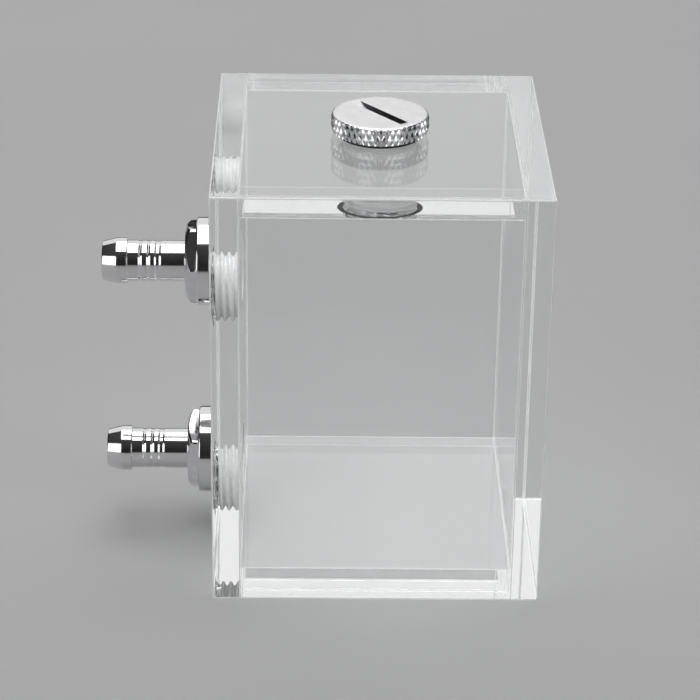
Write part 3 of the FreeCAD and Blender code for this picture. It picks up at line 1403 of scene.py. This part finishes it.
@dataclass
class BarbFitting:
    """Hose barb in the left wall. Sizes in millimetres out from the wall, angles in degrees."""

    side: Side
    hex_turn: float
    shank: SealedShank = field(default_factory=SealedShank)
    bore: float = 2.8
    bore_edge: float = 0.2
    flange: float = 8.3
    flange_top: float = 3.55
    flange_edge: float = 0.45
    flange_foot: float = 0.3
    hex_across: float = 14.0
    hex_corner: float = 8.0
    hex_length: float = 2.0
    hex_foot: float = 0.25
    hex_face: float = 6.65
    hex_chamfer: float = 37.0
    hex_edge: float = 0.12
    stem: float = 3.85
    stem_length: float = 10.8
    stem_foot: float = 0.2
    groove_depth: float = 0.15
    groove_side: float = 0.35
    groove_blend: float = 0.1
    grooves: tuple[Span, ...] = ((5.65, 1.25), (3.95, 0.7), (2.4, 0.7))
    lip: float = 4.32
    lip_length: float = 1.95
    lip_root: float = 0.1
    lip_edge: float = 0.12
    lip_shoulder: float = 0.6
    tip: float = 3.63
    tip_edge: float = 0.3
    cone_length: float = 2.75
    segments: int = 144

    def build(self) -> None:
        """Builds the fitting in its port."""
        name = self.side.value
        start = -math.radians(self.hex_turn)
        outline = Outline(self.corners(), closed=True)
        mesh = outline.turned(name, self.segments, start, CHROME_FINISH)
        mesh = thread_tree(False).shape(mesh, THREAD_FINISH, self.shank.thread.sizes(0.0))
        mesh = hexagon_tree().shape(mesh, HEXAGON_FINISH, {
            "Across": self.hex_across * MM,
            "Turn": start,
            "Foot": (self.flange_top + self.hex_foot) * MM,
            "Face Radius": self.hex_face * MM,
            "Face Height": (self.flange_top + self.hex_length) * MM,
            "Slope": math.tan(math.radians(self.hex_chamfer)),
        })
        mesh = self.polished_hexagon(mesh)
        place_piece(
            f"chromed_{name}_barb",
            mesh,
            port_place(name + "_fitting_o_ring"),
            name + "_fitting",
            name + "_barb_fitting",
        )

    def polished_hexagon(self, mesh: bpy.types.Mesh) -> bpy.types.Mesh:
        """Rounds the hexagon's edges, as polishing and plating leave them.

        Args:
            mesh: the fitting, which is used up.

        Returns:
            The fitting with those edges rounded.
        """
        work = bmesh.new()
        work.from_mesh(mesh)
        zone_of = work.faces.layers.int[ZONE]
        weight_of = work.edges.layers.float.new(BEVEL_WEIGHT)
        for edge in work.edges:
            milled = any(face[zone_of] == Zone.HEXAGON for face in edge.link_faces)
            if milled and edge.calc_face_angle_signed(0.0) > MILLED_EDGE:
                edge[weight_of] = 1.0
        work.to_mesh(mesh)
        work.free()
        return bevelled(mesh, self.hex_edge * MM)

    def corners(self) -> list[Corner]:
        """Corners of the whole fitting, up its outside and back down its bore.

        Returns:
            The corners.
        """
        hex_top = self.flange_top + self.hex_length
        stem_top = hex_top + self.stem_length
        lip_top = stem_top + self.lip_length
        tip = lip_top + self.cone_length
        drop = (self.hex_corner - self.hex_face) * math.tan(math.radians(self.hex_chamfer))
        milled = Zone.HEXAGON
        corners = self.shank.corners(self.bore) + [
            Corner(self.flange, self.shank.gap, self.flange_foot),
            Corner(self.flange, self.flange_top, self.flange_edge),
            Corner(self.hex_corner, self.flange_top, 0, milled),
            Corner(self.hex_corner, hex_top - drop, 0, milled),
            Corner(self.hex_face, hex_top),
            Corner(self.stem, hex_top, self.stem_foot),
        ]
        for below, width in self.grooves:
            corners += self.groove(stem_top - below, width)
        return corners + [
            Corner(self.stem, stem_top, self.lip_root),
            Corner(self.lip, stem_top, self.lip_edge),
            Corner(self.lip, lip_top, self.lip_shoulder),
            Corner(self.tip, tip, self.tip_edge),
            Corner(self.bore, tip, self.bore_edge),
        ]

    def groove(self, middle: float, width: float) -> list[Corner]:
        """Corners of one groove in the stem: sloping sides, and a level floor if it is wide.

        Args:
            middle: height of its middle.
            width: its width at the stem.

        Returns:
            The corners, from low to high.
        """
        floor = self.stem - self.groove_depth
        half = width / 2
        level = max(half - self.groove_side, 0.0)
        soft = self.groove_blend
        corners = [Corner(self.stem, middle - half, soft), Corner(floor, middle - level, soft)]
        if level:
            corners.append(Corner(floor, middle + level, soft))
        return corners + [Corner(self.stem, middle + half, soft)]


@dataclass
class SoftBox:
    """One studio lamp: where it hangs, its size, its power and what it points at."""

    name: str
    place: Point
    size: Span
    power: float
    target: Point = (-0.005, 0.0, 0.04)

    def hang(self) -> None:
        """Adds the lamp to the scene."""
        lamp = bpy.data.lights.new(self.name, "AREA")
        lamp.shape = "RECTANGLE"
        lamp.size, lamp.size_y = self.size
        lamp.energy = self.power
        hung = put_in_scene(self.name, lamp)
        hung.location = self.place
        aim = Vector(self.target) - Vector(self.place)
        hung.rotation_euler = aim.to_track_quat("-Z", "Y").to_euler()


@dataclass
class Studio:
    """Floor, lamps, surroundings and camera. Lengths in metres, angles in degrees."""

    camera_place: Point = (-0.01152, -0.45486, 0.25818)
    camera_down: float = 26.027
    camera_right: float = 0.840
    camera_roll: float = 0.845
    lens: float = 137.70
    sensor: float = 36.0
    clip: Span = (0.01, 20.0)
    floor_drop: float = 0.15 * MM
    floor_half: float = 3.0
    bounces: int = 24
    surroundings: tuple[Span, ...] = ((0.0, 0.02), (0.3, 0.02), (0.9, 0.05), (1.0, 0.12))
    lamps: tuple[SoftBox, ...] = (
        SoftBox("back_softbox", (0.0, 0.9, 0.55), (1.6, 0.85), 3.6),
        SoftBox("top_softbox", (-0.03, 0.18, 0.88), (0.7, 1.0), 5.6, (-0.03, 0.18, 0.0)),
        SoftBox("left_softbox", (-0.55, -0.6, 0.3), (0.6, 0.6), 1.9),
        SoftBox("right_softbox", (0.6, -0.6, 0.3), (0.55, 0.6), 1.7),
    )

    def build(self) -> None:
        """Sets up the whole studio."""
        self.lay_floor()
        for lamp in self.lamps:
            lamp.hang()
        self.surround()
        self.set_camera()
        self.let_light_through()
        bpy.context.scene.view_settings.view_transform = "Standard"

    def let_light_through(self) -> None:
        """Lets light bounce along inside the sheets as often as acrylic does."""
        paths = bpy.context.scene.cycles
        paths.max_bounces = self.bounces
        paths.glossy_bounces = self.bounces
        paths.transmission_bounces = self.bounces
        paths.transparent_max_bounces = self.bounces

    def lay_floor(self) -> None:
        """Lays the pale floor just under the tank."""
        half = self.floor_half
        mesh = bpy.data.meshes.new("studio_floor")
        corners = [(-half, -half), (half, -half), (half, half), (-half, half)]
        mesh.from_pydata([(x, y, -self.floor_drop) for x, y in corners], [], [(0, 1, 2, 3)])
        mesh.materials.append(StudioFloor().material())
        floor = put_in_scene("studio_floor", mesh)
        floor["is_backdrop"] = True

    def surround(self) -> None:
        """Lights the scene from all round, dim at the horizon and brighter overhead."""
        world = bpy.data.worlds.new("studio")
        world.use_nodes = True
        world.node_tree.nodes.clear()
        build = NodeBuilder(world.node_tree)
        way = build.add("ShaderNodeTexCoord").outputs["Generated"]
        height = build.add("ShaderNodeSeparateXYZ", Vector=way).outputs["Z"]
        ramp = build.add("ShaderNodeValToRGB", Fac=height)
        steps = ramp.color_ramp.elements
        for place, _ in self.surroundings[1:-1]:
            steps.new(place)
        for step, (_, level) in zip(steps, self.surroundings):
            step.color = (level, level, level, 1.0)
        glow = build.add("ShaderNodeBackground", Color=ramp.outputs["Color"])
        build.add("ShaderNodeOutputWorld", Surface=glow.outputs[0])
        bpy.context.scene.world = world

    def set_camera(self) -> None:
        """Sets the camera where the photograph was taken from."""
        data = bpy.data.cameras.new("camera")
        data.lens = self.lens
        data.sensor_width = self.sensor
        data.clip_start, data.clip_end = self.clip
        camera = put_in_scene("camera", data)
        down, right = math.radians(self.camera_down), math.radians(self.camera_right)
        look = Vector((
            math.sin(right) * math.cos(down), math.cos(right) * math.cos(down), -math.sin(down)
        ))
        level = look.to_track_quat("-Z", "Y").to_matrix().to_4x4()
        roll = Matrix.Rotation(math.radians(self.camera_roll), 4, "Z")
        camera.matrix_world = Matrix.Translation(self.camera_place) @ level @ roll
        bpy.context.scene.camera = camera


def write_sizes(cad_box: tuple[Vector, Vector]) -> None:
    """Lays the CAD box and the visual model's box side by side as JSON text, which is not kept."""
    boxes = {"cad": cad_box, "visual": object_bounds()}
    json.dumps({name: [list(end) for end in box] for name, box in boxes.items()})


def main() -> None:
    """Builds the reservoir piece by piece, then the studio around it."""
    logging.basicConfig(level=logging.INFO, format="%(name)s: %(message)s")
    cad_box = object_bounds()
    AcrylicTank().build()
    FillPlug().build()
    FaceSeal("fill_plug_o_ring", "plug_seal").build()
    for side, hex_turn in HEX_TURNS.items():
        seal = side.value + "_fitting_o_ring"
        BarbFitting(side, hex_turn, SealedShank(PORT_THREADS[seal])).build()
        FaceSeal(seal, side.value + "_seal").build()
    Studio().build()
    write_sizes(cad_box)


if __name__ == "__main__":
    main()
